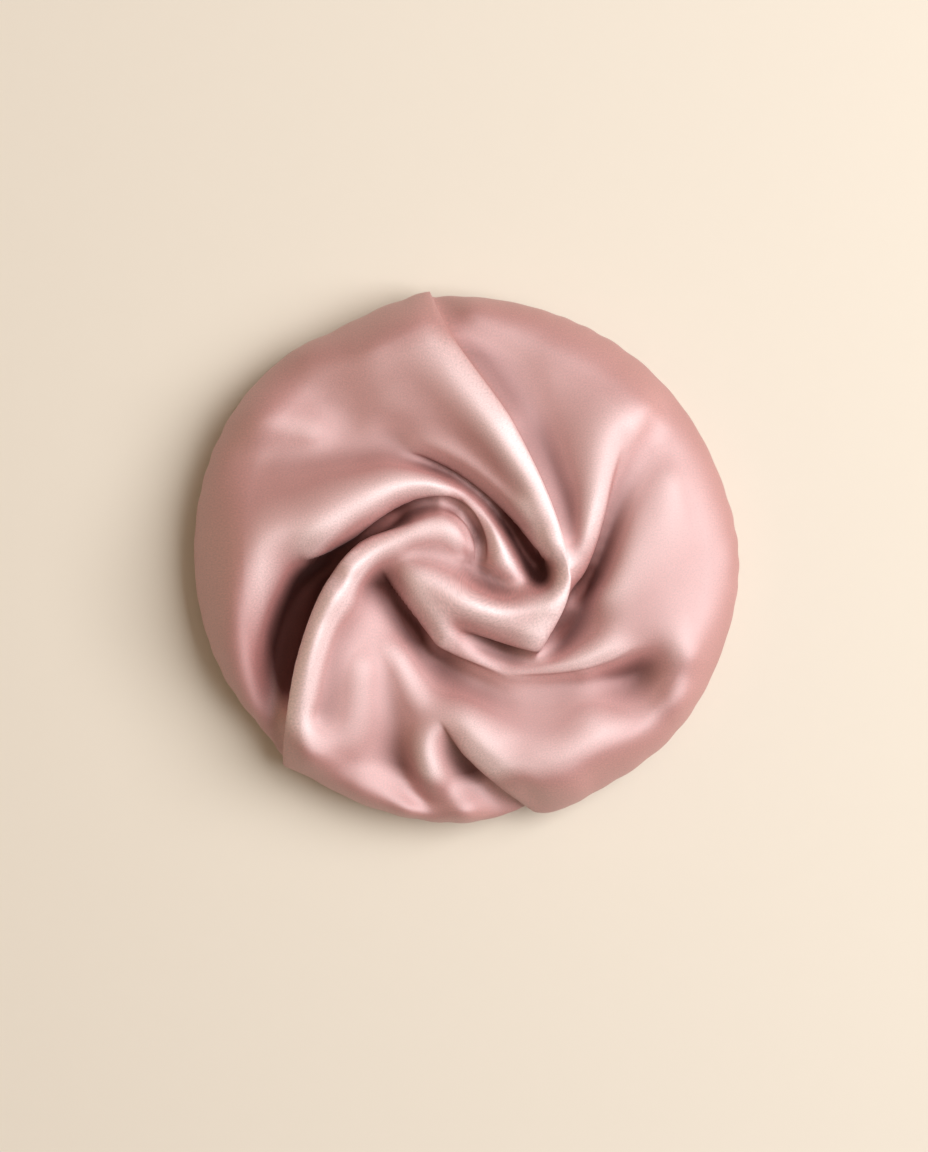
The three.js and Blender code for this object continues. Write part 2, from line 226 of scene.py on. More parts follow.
@dataclass(frozen=True)
class Satin:
    """Dusty-rose satin with a fine weave and a soft broad sheen. Lengths in metres, grains per metre."""

    name: str = "dusty_rose_satin"
    cloth: Colour = srgb(170, 98, 92)
    lit: Colour = srgb(184, 116, 112)
    # Painted highlight: the pale colour laid on the tops of the folds
    painted_highlight: Colour = srgb(238, 206, 204)
    # Painted shade: the dark colour laid deep in the folds
    painted_shade: Colour = srgb(92, 34, 24)
    shade_grain: float = 16.0
    shade_gain: float = 1.6
    shade_start: float = 0.3
    painted_highlight_share: float = 0.8
    speck_grain: float = 800.0
    speck_gain: float = 1.1
    speck_base: float = 0.45
    roughness: float = 0.58
    roughness_change: float = 0.08
    metal: float = 0.06
    # More metallic deep in the folds, which darkens the painted shade further
    painted_shade_metal: float = 0.8
    bend_of_light: float = 3.4
    sheen: float = 0.12
    sheen_roughness: float = 0.4
    sheen_tint: Colour = srgb(255, 226, 220)
    thread_pitch: float = 0.00055
    thread_stretch: float = 2.5
    thread_share: float = 0.35
    fuzz_grain: float = 1500.0
    weave_depth: float = 0.00022
    weave_strength: float = 0.5

    def make(self) -> bpy.types.Material:
        """Builds the material.

        Returns:
            The satin.
        """
        graph = Graph(self.name)
        flat = graph.add("ShaderNodeUVMap", {"uv_map": "cloth"}, {})
        speck = graph.noise(flat, self.speck_grain)
        # Painted-shade mask: how deep in a fold each place is
        deep = graph.add("ShaderNodeAttribute", {"attribute_name": "painted_shade"}, {}, "Fac")
        least_roughness = self.roughness - self.roughness_change / 2
        return graph.surface(
            {
                "Base Color": self._colour(graph, flat, speck, deep),
                "Roughness": (speck * self.roughness_change + least_roughness).clamp(),
                "Normal": self._weave(graph, flat),
                # The painted-shade mask also raises the metallic, so the folds read darker still
                "Metallic": (deep * self.painted_shade_metal + self.metal).clamp(),
                "IOR": self.bend_of_light,
                "Sheen Weight": self.sheen,
                "Sheen Roughness": self.sheen_roughness,
                "Sheen Tint": self.sheen_tint,
            }
        )

    def _colour(self, graph: Graph, flat: Wire, speck: Wire, deep: Wire) -> Wire:
        """The cloth's colour: a painted highlight on the tops of the folds, painted shade deep in the folds,
        and speckled by its threads.

        Args:
            graph: The material's graph.
            flat: Flat cloth coordinates.
            speck: Fine noise.
            deep: How deep in a fold the cloth is, which sets how much painted shade it gets.

        Returns:
            The colour.
        """
        shade = graph.noise(flat, self.shade_grain, 3.0, 0.55)
        # Painted-highlight mask: how high on a ridge each place is
        high = graph.add("ShaderNodeAttribute", {"attribute_name": "painted_highlight"}, {}, "Fac")
        colour = graph.blend((shade * self.shade_gain - self.shade_start).clamp(), self.cloth, self.lit)
        # Painted highlight on the tops of the folds
        colour = graph.blend((high * self.painted_highlight_share).clamp(), colour, self.painted_highlight)
        # Painted shade deep in the folds
        colour = graph.blend(deep.clamp(), colour, self.painted_shade)
        tone = speck * self.speck_gain + self.speck_base
        tones = graph.add("ShaderNodeCombineColor", {}, {0: tone, 1: tone, 2: tone})
        return graph.blend(1.0, colour, tones, "MULTIPLY")

    def _weave(self, graph: Graph, flat: Wire) -> Wire:
        """The fine relief of the threads.

        Args:
            graph: The material's graph.
            flat: Flat cloth coordinates.

        Returns:
            The bumped normal.
        """
        split = graph.add("ShaderNodeSeparateXYZ", {}, {"Vector": flat})
        across = Wire(graph, split.socket.node.outputs["X"])
        along = Wire(graph, split.socket.node.outputs["Y"])
        turns = 2 * math.pi / self.thread_pitch
        threads = (across * turns).wave() * (along * (turns / self.thread_stretch)).wave()
        height = threads * self.thread_share + graph.noise(flat, self.fuzz_grain)
        values = {"Strength": self.weave_strength, "Distance": self.weave_depth, "Height": height}
        return graph.add("ShaderNodeBump", {}, values)


@dataclass(frozen=True)
class Plaster:
    """The pale, even floor. Grain per metre."""

    name: str = "pale_floor"
    colour: Colour = srgb(220, 211, 196)
    shade: Colour = srgb(213, 204, 188)
    shade_share: float = 0.2
    grain: float = 60.0
    octaves: float = 4.0
    roughness: float = 0.9

    def make(self) -> bpy.types.Material:
        """Builds the material.

        Returns:
            The floor's finish.
        """
        graph = Graph(self.name)
        place = graph.add("ShaderNodeTexCoord", {}, {}, "Object")
        grain = graph.noise(place, self.grain, self.octaves)
        colour = graph.blend(grain * self.shade_share, self.colour, self.shade)
        return graph.surface({"Base Color": colour, "Roughness": self.roughness})


# ---------------------------------------------------------------- folds of the crown


class Upper(Enum):
    """Which side of a fold's edge, seen along its stations, the upper cloth is on."""

    LEFT = 1
    RIGHT = -1


@dataclass(frozen=True)
class FoldLine:
    """A roll or a valley: four stations in mm that its bottom or ridge passes through."""

    name: str
    stations: Stations


@dataclass(frozen=True)
class FoldEdge:
    """An edge where one fold lies over the next, in mm: stations, the drop below each, and the overlap."""

    name: str
    stations: Stations
    drop: tuple[float, float, float, float]
    upper: Upper
    lap: float


# Widest line of the bonnet: angle in degrees, its radius in mm, how far in the rim starts to turn down
OUTLINE = (
    (0, 149, 18), (20, 145.5, 20), (50, 144, 22), (75, 143, 24), (96, 145.5, 22),
    (99, 148.5, 20), (105, 147, 22), (120, 145.5, 24), (130, 149.5, 24), (150, 152.5, 26),
    (180, 150.5, 30), (205, 149, 22), (222, 147, 14), (228, 151, 16), (235, 148, 18),
    (250, 146.5, 20), (270, 145, 20), (284, 140.8, 20), (289, 146.5, 20), (300, 146, 20),
    (320, 149, 20), (340, 148.5, 18),
)

# Rolls and valleys of the top: four stations (x, y, z) in mm along each
LINES = (
    FoldLine("left_roll_low", ((-127, -92, 37), (-131, -55, 48), (-127, -18, 56), (-104, 13, 61))),
    FoldLine("left_roll_face", ((-113, -86, 33), (-117, -56, 41), (-112, -26, 48), (-98, -2, 51))),
    FoldLine("left_roll_high", ((-98, 20, 61), (-75, 33, 62), (-48, 41, 62), (-14, 40, 60))),
    FoldLine("inner_roll", ((-6, 37.5, 60), (6, 29, 58), (18, 12, 55), (29, -9, 52))),
    FoldLine("lower_roll", ((-80, -33, 60), (-66, -8, 60), (-46, 7, 58), (-26, 12, 57))),
    FoldLine("lower_roll_end", ((-20, 11, 56), (-14, 11.5, 55.5), (-8, 11, 55), (-3, 8, 54))),
    FoldLine("saddle", ((-38, 1, 54), (-20, -8, 59), (4, -22, 61), (46, -22, 60))),
    FoldLine("saddle_low", ((-41, -8, 50), (-26, -21, 56), (0, -32, 59), (42, -32, 58))),
    FoldLine("top_flap_crown", ((-52, 112, 54), (-24, 88, 59), (6, 60, 62), (34, 26, 64))),
    FoldLine("top_flap_shoulder", ((-44, 84, 54), (-12, 66, 57), (14, 46, 58), (38, 16, 60))),
    FoldLine("right_ridge", ((104, 93, 47), (88, 80, 58), (74, 54, 63), (65, 28, 62))),
    FoldLine("right_panel_rise", ((106, 76, 48), (92, 44, 53), (83, 12, 54), (70, -20, 51))),
    FoldLine("right_panel", ((112, 44, 53), (108, 18, 56), (100, -10, 56), (87, -34, 54))),
    FoldLine("right_rim_roll", ((122, 70, 46), (134, 32, 46), (138, -10, 45), (131, -50, 45))),
    FoldLine("corner_roll", ((124, -62, 47), (117, -90, 46), (94, -112, 43), (70, -124, 40))),
    FoldLine("lower_panel", ((78, -98, 52), (60, -104, 55), (42, -109, 55), (24, -106, 54))),
    FoldLine("lower_ridge", ((22, -93, 53), (4, -85, 53), (-6, -83, 52), (-14, -89, 50))),
    FoldLine("small_roll", ((-19, -94, 51), (-25, -104, 49), (-24, -118, 44), (-16, -132, 34))),
    FoldLine("left_flap_crown", ((-82, -86, 49), (-80, -70, 53), (-77, -50, 57), (-68, -30, 58))),
    FoldLine("left_flap_foot", ((-66, -114, 41), (-60, -96, 46), (-57, -78, 49), (-55, -58, 51))),
    FoldLine("between_ridge", ((-24, -88, 47), (-29, -74, 47), (-32, -62, 46), (-40, -48, 45))),
    FoldLine("west_crest", ((-130, 70, 46), (-119, 77, 50), (-104, 73, 50), (-84, 67, 50))),
    FoldLine("top_valley_soft", ((-108, 102, 43), (-93, 95, 44), (-76, 84, 46), (-60, 74, 48))),
    FoldLine("top_valley_mid", ((-60, 74, 50), (-51, 69, 49.5), (-43, 64.5, 49.5), (-36, 60.5, 50))),
    FoldLine("top_valley_deep", ((29, 10, 40), (33, 3, 40), (38, -5, 41), (43, -11, 45))),
    FoldLine("west_valley", ((-122, 55, 44), (-100, 57, 47), (-76, 57, 49), (-54, 55, 51))),
    FoldLine("hollow_west", ((-64, 7, 36), (-52, 15, 42), (-38, 22, 46), (-19, 27.5, 47))),
    FoldLine("hollow_east", ((-9, 26.5, 47), (2, 20, 45), (7.5, 9, 44), (6, -4, 47))),
    FoldLine("dimple", ((6, -9, 47), (14, -14, 48), (24, -16, 50), (36, -16, 54))),
    FoldLine("lower_crease", ((-60, -17, 54), (-47, -4, 51), (-29, 2, 53), (-9, 1, 51))),
    FoldLine("dark_valley_top", ((-71, 3, 31), (-78, -8, 26), (-86, -22, 23), (-91, -38, 23))),
    FoldLine("dark_valley_low", ((-95, -54, 24), (-99, -70, 26), (-102, -86, 27), (-105, -100, 25))),
    FoldLine("middle_valley", ((-53, -15, 46), (-42, -29, 39), (-26, -45, 35), (-1, -62, 39))),
    FoldLine("rose_valley", ((8, -69, 41), (22, -77, 45), (38, -85, 48), (54, -89, 51))),
    FoldLine("foot_valley", ((-50, -46, 46), (-43, -74, 44), (-36, -100, 39), (-25, -132, 28))),
    FoldLine("top_bowl", ((44, 122, 46), (44, 96, 51), (47, 66, 55), (53, 32, 56))),
    FoldLine("right_tuck", ((97, 68, 52), (82, 36, 53), (73, 4, 48), (63, -24, 44))),
    FoldLine("right_soft", ((105, 84, 46), (113, 62, 48), (119, 38, 50), (124, 10, 50))),
    FoldLine("crevice", ((58, -30, 42), (52, -38, 42), (45, -45, 43), (36, -54, 44))),
    FoldLine("east_dip", ((66, -62, 46), (75, -62, 42), (84, -61, 39), (94, -58, 40))),
    FoldLine("east_wall", ((110, -34, 53), (118, -48, 53), (121, -64, 52), (116, -84, 50))),
    FoldLine("south_wall", ((66, -85, 51), (84, -91, 50), (100, -93, 47), (111, -90, 46))),
)

# Points along a fold edge that is lapped; its pull reaches a share of its overlap, or at least so many mm
EDGE_POINTS = 60
LAP_SHARE = 0.9
LEAST_LAP = 1.6

# Fold edges: four stations on the upper cloth, the drop below each, the upper side and the overlap
EDGES = (
    FoldEdge(
        "top_flap_rim",
        ((-22, 152, 30), (-13, 127, 50), (4, 101, 60), (22, 75, 66)),
        (8, 8, 8, 9), Upper.RIGHT, 4,
    ),
    FoldEdge(
        "top_flap_side",
        ((22, 75, 66), (37, 45, 68), (49, 14, 68), (54, -8, 65)),
        (9, 11, 11, 9), Upper.RIGHT, 4,
    ),
    FoldEdge(
        "top_flap_tip",
        ((54, -8, 65), (52.5, -21, 63), (47, -34, 59), (38, -50, 54)),
        (9, 15, 15, 8), Upper.RIGHT, 4,
    ),
    FoldEdge(
        "tip_under",
        ((33, -48.8, 54), (21, -45.5, 53), (8, -41.5, 52), (-6, -39, 51)),
        (9, 11, 9, 0), Upper.RIGHT, 3,
    ),
    FoldEdge(
        "centre_flap",
        ((-47, -6, 48), (-36, -21, 51), (-26, -34, 51), (-17, -46, 49)),
        (3, 13, 15, 13), Upper.LEFT, 2.2,
    ),
    FoldEdge(
        "centre_corner",
        ((-17, -46, 49), (-6, -52, 48), (6, -57.5, 47), (19, -63, 46)),
        (13, 9, 5, 2), Upper.LEFT, 3,
    ),
    FoldEdge(
        "left_flap_rim",
        ((-102, -120, 20), (-99, -98, 44), (-96, -77, 53), (-92, -56, 58)),
        (8, 16, 24, 30), Upper.RIGHT, 4,
    ),
    FoldEdge(
        "left_flap_side",
        ((-92, -56, 58), (-84, -31, 61), (-73, -9, 60), (-58, 8, 56)),
        (30, 30, 26, 12), Upper.RIGHT, 4,
    ),
    FoldEdge(
        "left_flap_top",
        ((-58, 8, 56), (-42, 15.5, 56), (-28, 20.5, 56), (-14, 26, 54)),
        (12, 6, 2, 1), Upper.RIGHT, 4,
    ),
    FoldEdge(
        "lower_roll_round",
        ((-14, 26, 54), (-6, 23, 54), (1, 14, 53), (3, -2, 48)),
        (1, 6, 11, 0), Upper.RIGHT, 1.8,
    ),
    FoldEdge(
        "left_roll_edge",
        ((-86, 0, 51), (-62, 12, 57), (-36, 29, 58), (-11, 34, 57)),
        (10, 17, 12, 10), Upper.LEFT, 2.5,
    ),
    FoldEdge(
        "inner_roll_edge",
        ((-11, 34, 57), (1, 28, 56), (9, 14, 53), (9, -3, 50)),
        (10, 11, 8, 0), Upper.LEFT, 2,
    ),
    FoldEdge(
        "right_fold",
        ((96, 84, 54), (79, 48, 61), (69, 10, 60), (60, -12, 56)),
        (0, 4, 14, 15), Upper.RIGHT, 2.4,
    ),
    FoldEdge(
        "right_fold_end",
        ((60, -12, 56), (57, -19, 54), (54, -26, 51), (50, -33, 48)),
        (15, 11, 6, 0), Upper.RIGHT, 2,
    ),
    FoldEdge(
        "flap_valley_wall",
        ((-31, 57, 52), (-7, 47.5, 56), (17, 28.5, 59), (41, 0, 60)),
        (2, 13, 20, 20), Upper.LEFT, 2,
    ),
    FoldEdge(
        "right_crease",
        ((20, -63, 46), (45, -62, 50), (68, -58, 52), (90, -48, 51)),
        (1, 5, 6, 1), Upper.LEFT, 2,
    ),
    FoldEdge(
        "foot_fold",
        ((-14, -89, 51), (0, -107, 50), (20, -125, 42), (46, -146, 22)),
        (3, 11, 14, 8), Upper.LEFT, 4,
    ),
)


def station_weights(stops: np.ndarray, share: np.ndarray) -> np.ndarray:
    """Weights of four stations at shares along a line.

    Args:
        stops: The stations' own shares.
        share: Where the weights are wanted.

    Returns:
        One row of four weights for each share.
    """
    weights = np.ones((len(share), 4))
    for i in range(4):
        for j in range(4):
            if j != i:
                weights[:, i] *= (share - stops[j]) / (stops[i] - stops[j])
    return weights


def walk(stations: np.ndarray, count: int | None = None, step: float = 8.0) -> np.ndarray:
    """Points along the curve through four stations.

    Args:
        stations: Four rows, of which the first two columns are x and y.
        count: How many points, or None to space them by step.
        step: Spacing in mm.

    Returns:
        The points, with every column of the stations.
    """
    lengths = np.hypot(*np.diff(stations[:, :2], axis=0).T)
    stops = np.concatenate([[0.0], np.cumsum(lengths)]) / lengths.sum()
    number = count or max(2, math.ceil(lengths.sum() / step) + 1)
    return station_weights(stops, np.linspace(0, 1, number)) @ stations


def left_of(line: np.ndarray) -> np.ndarray:
    """Unit vectors to the left of a line's direction of travel.

    Args:
        line: Points of the line.

    Returns:
        One vector for each point.
    """
    ahead = np.empty((len(line), 2))
    ahead[1:-1] = line[2:, :2] - line[:-2, :2]
    ahead[0] = line[1, :2] - line[0, :2]
    ahead[-1] = line[-1, :2] - line[-2, :2]
    ahead /= np.linalg.norm(ahead, axis=1)[:, None]
    return np.stack([-ahead[:, 1], ahead[:, 0]], axis=1)


def edge_chains() -> list[np.ndarray]:
    """The fold edges as fine lines, with those that follow on from each other joined.

    Returns:
        Rows of x, y, z, drop, lap and side for each chain.
    """
    chains: list[np.ndarray] = []
    end = None
    for edge in EDGES:
        line = walk(np.column_stack([edge.stations, edge.drop]), count=EDGE_POINTS)
        extra = np.tile([max(edge.lap * LAP_SHARE, LEAST_LAP), edge.upper.value], (len(line), 1))
        line = np.hstack([line, extra])
        if edge.stations[0] == end:
            chains[-1] = np.vstack([chains[-1], line[1:]])
        else:
            chains.append(line)
        end = edge.stations[3]
    return chains


@dataclass(frozen=True)
class Outline:
    """The bonnet's widest line, a smooth closed curve through its stations."""

    stations: tuple[tuple[float, float, float], ...] = OUTLINE

    def radius(self, angle: np.ndarray) -> np.ndarray:
        """Radius at angles in radians, in mm."""
        return self._curve(angle, 1)

    def turn_in(self, angle: np.ndarray) -> np.ndarray:
        """How far in from the widest line the rim starts to turn down, in mm."""
        return self._curve(angle, 2)

    def _curve(self, angle: np.ndarray, column: int) -> np.ndarray:
        """A smooth closed curve through one column of the stations.

        Args:
            angle: Angles in radians.
            column: Which column.

        Returns:
            One value for each angle.
        """
        table = np.array(self.stations, dtype=float)
        degrees = table[:, 0]
        knots = np.radians(np.concatenate([degrees - 360, degrees, degrees + 360]))
        values = np.tile(table[:, column], 3)
        turn = np.mod(angle, 2 * math.pi)
        i = np.searchsorted(knots, turn, side="right") - 1
        span = knots[i + 1] - knots[i]
        t = (turn - knots[i]) / span
        leave = (values[i + 1] - values[i - 1]) / (knots[i + 1] - knots[i - 1]) * span
        arrive = (values[i + 2] - values[i]) / (knots[i + 2] - knots[i]) * span
        start = (2 * t**3 - 3 * t**2 + 1) * values[i] + (t**3 - 2 * t**2 + t) * leave
        return start + (3 * t**2 - 2 * t**3) * values[i + 1] + (t**3 - t**2) * arrive


def with_column(rows: np.ndarray, value: float) -> np.ndarray:
    """Adds a column that holds one value.

    Args:
        rows: The rows.
        value: What the new column holds.

    Returns:
        The rows, one column wider.
    """
    return np.column_stack([rows, np.full(len(rows), value)])


@dataclass
class Relief:
    """The height of the crown's top, a smooth surface over all of its rolls, valleys and fold edges."""

    outline: Outline
    spread: float = 7.0
    edge_spread: float = 5.0
    ease: float = 1.2
    clear: float = 3.4
    half_face: float = 2.2
    shoulder: float = 46.0
    shoulder_count: int = 28
    shoulder_share: float = 0.97
    shoulder_room: float = 7.0
    deepest: float = 22.0
    deep_ease: float = 4.0
    batch: int = 20000

    def __post_init__(self) -> None:
        """Solves the surface's weights."""
        self.anchors = self._anchors()
        count = len(self.anchors)
        system = np.ones((count + 1, count + 1))
        system[:count, :count] = self._reach(self.anchors[:, :2]) - self.ease * np.eye(count)
        system[count, count] = 0
        self.weights = np.linalg.solve(system, np.append(self.anchors[:, 2], 0.0))

    def _reach(self, places: np.ndarray) -> np.ndarray:
        """Softened distances from places to every anchor.

        Args:
            places: Points, x and y in mm.

        Returns:
            One row for each place.
        """
        gap = places[:, None] - self.anchors[None, :, :2]
        return np.sqrt((gap**2).sum(axis=-1) + self.anchors[:, 3] ** 2)

    def _line_points(self) -> list[np.ndarray]:
        """Points of every roll and valley, and pairs of points at the top and foot of every fold edge.

        Returns:
            Rows of x, y, z and spread in mm.
        """
        wanted = [with_column(walk(np.array(line.stations)), self.spread) for line in LINES]
        for edge in EDGES:
            line = walk(np.column_stack([edge.stations, edge.drop]))
            side = left_of(line) * edge.upper.value * self.half_face
            top = np.column_stack([line[:, :2] + side, line[:, 2]])
            foot = np.column_stack([line[:, :2] - side, line[:, 2] - line[:, 3]])
            pairs = np.stack([top, foot], axis=1).reshape(-1, 3)
            wanted.append(with_column(pairs, self.edge_spread))
        return list(np.concatenate(wanted))

    def _anchors(self) -> np.ndarray:
        """Every point the top passes through, with shoulder points wherever no line comes near the rim.

        Returns:
            Rows of x, y, z and spread in mm.
        """
        points = self._line_points()
        angles = np.linspace(0, 2 * math.pi, self.shoulder_count, endpoint=False)
        radii = self.shoulder_share * self.outline.radius(angles)
        for x, y in zip(radii * np.cos(angles), radii * np.sin(angles)):
            if min(math.hypot(x - p[0], y - p[1]) for p in points) > self.shoulder_room:
                points.append(np.array([x, y, self.shoulder, self.spread]))
        kept: list[np.ndarray] = []
        for point in points:
            if all(math.hypot(point[0] - p[0], point[1] - p[1]) > self.clear for p in kept):
                kept.append(point)
        return np.array(kept)

    def height(self, x: np.ndarray, y: np.ndarray) -> np.ndarray:
        """Height at places.

        Args:
            x: x in mm.
            y: y in mm.

        Returns:
            Heights in mm.
        """
        places = np.column_stack([x, y])
        heights = np.empty(len(places))
        for start in range(0, len(places), self.batch):
            part = slice(start, start + self.batch)
            heights[part] = self._reach(places[part]) @ self.weights[:-1] + self.weights[-1]
        depth = (heights - self.deepest) / self.deep_ease
        return self.deepest + self.deep_ease * np.log1p(np.exp(depth))


def make_object(name: str, places: np.ndarray, faces: list, finish: bpy.types.Material) -> bpy.types.Object:
    """Makes a smooth-shaded mesh object.

    Args:
        name: The piece's name.
        places: Vertices in mm.
        faces: Vertex indices of each face.
        finish: Its material.

    Returns:
        The object, linked to the scene.
    """
    mesh = bpy.data.meshes.new(name)
    mesh.from_pydata((places * MM).tolist(), [], faces)
    mesh.polygons.foreach_set("use_smooth", [True] * len(mesh.polygons))
    mesh.materials.append(finish)
    piece = bpy.data.objects.new(name, mesh)
    bpy.context.collection.objects.link(piece)
    return piece


def apply_modifiers(piece: bpy.types.Object) -> None:
    """Applies a piece's modifiers to its mesh.

    Args:
        piece: The piece.
    """
    graph = bpy.context.evaluated_depsgraph_get()
    mesh = bpy.data.meshes.new_from_object(piece.evaluated_get(graph))
    piece.modifiers.clear()
    piece.data = mesh


def lay_cloth(piece: bpy.types.Object, cloth: np.ndarray) -> None:
    """Gives a piece its flat cloth coordinates.

    Args:
        piece: The piece.
        cloth: One pair in metres for each vertex.
    """
    layer = piece.data.uv_layers.new(name="cloth")
    corners = np.array([loop.vertex_index for loop in piece.data.loops])
    layer.data.foreach_set("uv", cloth[corners].ravel())


def flat_cloth(places: np.ndarray) -> np.ndarray:
    """Lays rings out flat, each at its mean length of cloth from the middle.

    Args:
        places: The rings, in mm.

    Returns:
        One pair in mm for each place.
    """
    reach = np.zeros(places.shape[:2])
    for row in range(1, len(places)):
        reach[row] = reach[row - 1] + np.linalg.norm(places[row] - places[row - 1], axis=1).mean()
    flat = places[:, :, :2].copy()
    size = np.linalg.norm(flat, axis=2)
    flat *= (np.maximum(reach, 1.0) / np.maximum(size, 1.0))[:, :, None]
    return flat


@dataclass(frozen=True)
class Gathers:
    """The uneven gathers that the elastic pulls into the cloth."""

    count: int = 52
    wander: tuple[tuple[float, int], ...] = ((1.7, 5), (0.8, 11))
    mean_depth: float = 0.65
    depth_change: float = 0.35
    depth_waves: int = 7
    depth_start: float = 1.0
    sharpness: float = 1.4

    def depth(self, angle: np.ndarray) -> np.ndarray:
        """Depth of the gathers.

        Args:
            angle: Angles around the bonnet.

        Returns:
            A depth from 0 to 1 at each angle.
        """
        uneven = sum(size * np.sin(waves * angle) for size, waves in self.wander)
        deep = self.mean_depth + self.depth_change * np.sin(self.depth_waves * angle + self.depth_start)
        return deep * (0.5 + 0.5 * np.sin(self.count * angle + uneven)) ** self.sharpness


@dataclass
class Crown:
    """The satin crown: folded top, rounded rim and an underside gathered in to the casing. Sizes in mm."""

    finish: bpy.types.Material
    around: int = 400
    top_rows: int = 92
    rim_rows: int = 13
    tuck_rows: int = 9
    base_rows: int = 9
    rim_height: float = 19.0
    tuck_round: float = 18.0
    underside: float = 1.5
    underside_fall: float = 1.0
    casing_radius: float = 85.5
    swirl: tuple[float, float] = (4.0, -15.0)
    swirl_turn: float = math.radians(105)
    swirl_bend: float = 1.5
    cloth: float = 0.8
    cut_width: float = 500.0
    gathers: Gathers = Gathers()
    side_pleat: float = 0.7
    low_pleat: float = 3.2
    ripple_outside: float = 0.8
    ripple_growth: float = 4.2
    ripple_bend: float = 1.5
    ripple_onset: float = 4.0
    fold_back: float = 1.9
    lap_limit: float = 4.0
    lap_floor: float = 3.0
    full_drop: float = 10.0
    look_count: int = 8
    look_radius: float = 14.0
    look_fade: int = 8
    # Where the painted shade and the painted highlight start and how far they grow, in mm
    painted_shade_start: float = 0.8
    painted_shade_span: float = 8.0
    painted_highlight_start: float = 0.3
    painted_highlight_span: float = 6.0

    def __post_init__(self) -> None:
        """Prepares the outline and the relief."""
        self.outline = Outline()
        self.relief = Relief(self.outline)

    def rings(self) -> np.ndarray:
        """The crown's rings before its folds are lapped.

        Returns:
            Places of every ring, from the middle of the top round to the casing.
        """
        angle = np.linspace(0, 2 * math.pi, self.around, endpoint=False)
        edge = self.outline.radius(angle)
        gather = self.gathers.depth(angle)
        rings = self.top_rings(angle)
        rings += self.rim_rings(angle, edge, gather)
        rings += self.tuck_rings(angle, edge, gather)
        rings += self.base_rings(angle, edge, gather)
        return np.array(rings)

    def top_rings(self, angle: np.ndarray) -> list[np.ndarray]:
        """Rings of the top, twisted more the nearer they are to the middle of the swirl.

        Args:
            angle: Angles around the bonnet.

        Returns:
            Rings from the middle outwards.
        """
        rings = []
        for row in range(1, self.top_rows + 1):
            share = row / self.top_rows
            swung = angle - self.swirl_turn * (1 - share) ** self.swirl_bend
            radius = (self.outline.radius(swung) - self.outline.turn_in(swung)) * share
            x = self.swirl[0] * (1 - share) + radius * np.cos(swung)
            y = self.swirl[1] * (1 - share) + radius * np.sin(swung)
            rings.append(np.column_stack([x, y, self.relief.height(x, y)]))
        return rings

    def rim_rings(self, angle: np.ndarray, edge: np.ndarray, gather: np.ndarray) -> list[np.ndarray]:
        """Rings of the rim, which turns down to the widest line.

        Args:
            angle: Angles around the bonnet.
            edge: Radius of the widest line.
            gather: Depth of the gathers.

        Returns:
            Rings from the top downwards.
        """
        turn_in = self.outline.turn_in(angle)
        rings = []
        for row in range(1, self.rim_rows + 1):
            share = row / self.rim_rows
            lean = share * math.pi / 2
            radius = edge - turn_in * (1 - math.sin(lean)) - self.side_pleat * share**2 * gather
            x, y = radius * np.cos(angle), radius * np.sin(angle)
            fall = (self.relief.height(x, y) - self.rim_height) * math.cos(lean)
            rings.append(np.column_stack([x, y, self.rim_height + fall]))
        return rings

    def tuck_rings(self, angle: np.ndarray, edge: np.ndarray, gather: np.ndarray) -> list[np.ndarray]:
        """Rings that tuck in from the widest line to the floor.

        Args:
            angle: Angles around the bonnet.
            edge: Radius of the widest line.
            gather: Depth of the gathers.

        Returns:
            Rings from the widest line downwards.
        """
        rings = []
        for row in range(1, self.tuck_rows + 1):
            lean = row / self.tuck_rows * math.pi / 2
            pleat = self.side_pleat + (self.low_pleat - self.side_pleat) * row / self.tuck_rows
            radius = edge - self.tuck_round * (1 - math.cos(lean)) - pleat * gather
            z = np.full(self.around, self.rim_height - (self.rim_height - self.underside) * math.sin(lean))
            rings.append(np.column_stack([radius * np.cos(angle), radius * np.sin(angle), z]))
        return rings

    def base_rings(self, angle: np.ndarray, edge: np.ndarray, gather: np.ndarray) -> list[np.ndarray]:
        """Rings of the underside, which ripples more the nearer it is to the casing.

        Args:
            angle: Angles around the bonnet.
            edge: Radius of the widest line.
            gather: Depth of the gathers.

        Returns:
            Rings from the outside inwards.
        """
        start = edge - self.tuck_round - self.low_pleat * gather
        rings = []
        for row in range(1, self.base_rows + 1):
            share = row / self.base_rows
            radius = start * (1 - share) + self.casing_radius * share
            ripple = (self.ripple_outside + self.ripple_growth * share**self.ripple_bend) * gather
            z = self.underside - self.underside_fall * share + ripple * min(1, self.ripple_onset * share)
            rings.append(np.column_stack([radius * np.cos(angle), radius * np.sin(angle), z]))
        return rings

    def lap(self, places: np.ndarray) -> np.ndarray:
        """Carries each fold's upper cloth out over the cloth below it.

        Args:
            places: The rings.

        Returns:
            The rings with the laps made.
        """
        points = places.reshape(-1, 3).copy()
        shift = np.zeros((len(points), 2))
        for line in edge_chains():
            out = left_of(line) * line[0, 5]
            spare = self.lap_limit * line[:, 4].max()
            low, high = line[:, :2].min(axis=0) - spare, line[:, :2].max(axis=0) + spare
            inside = ((points[:, :2] > low) & (points[:, :2] < high)).all(axis=1)
            near = np.where(inside & (points[:, 2] > self.lap_floor))[0]
            gap = points[near, None, :2] - line[None, :, :2]
            square = (gap**2).sum(axis=-1)
            closest = square.argmin(axis=1)
            own = np.arange(len(near))
            reach = line[closest, 4]
            side = (gap[own, closest] * out[closest]).sum(axis=1)
            beyond = np.clip(square[own, closest] - side**2, 0, None)
            fade = np.where((closest == 0) | (closest == len(line) - 1), np.exp(-beyond / reach**2), 1.0)
            depth = np.clip(line[closest, 3] / self.full_drop, 0, 1)
            amount = -self.fold_back * side * np.exp(-((side / reach) ** 2)) * depth * fade
            shift[near] += amount[:, None] * out[closest]
        points[:, :2] += shift
        return points.reshape(places.shape)

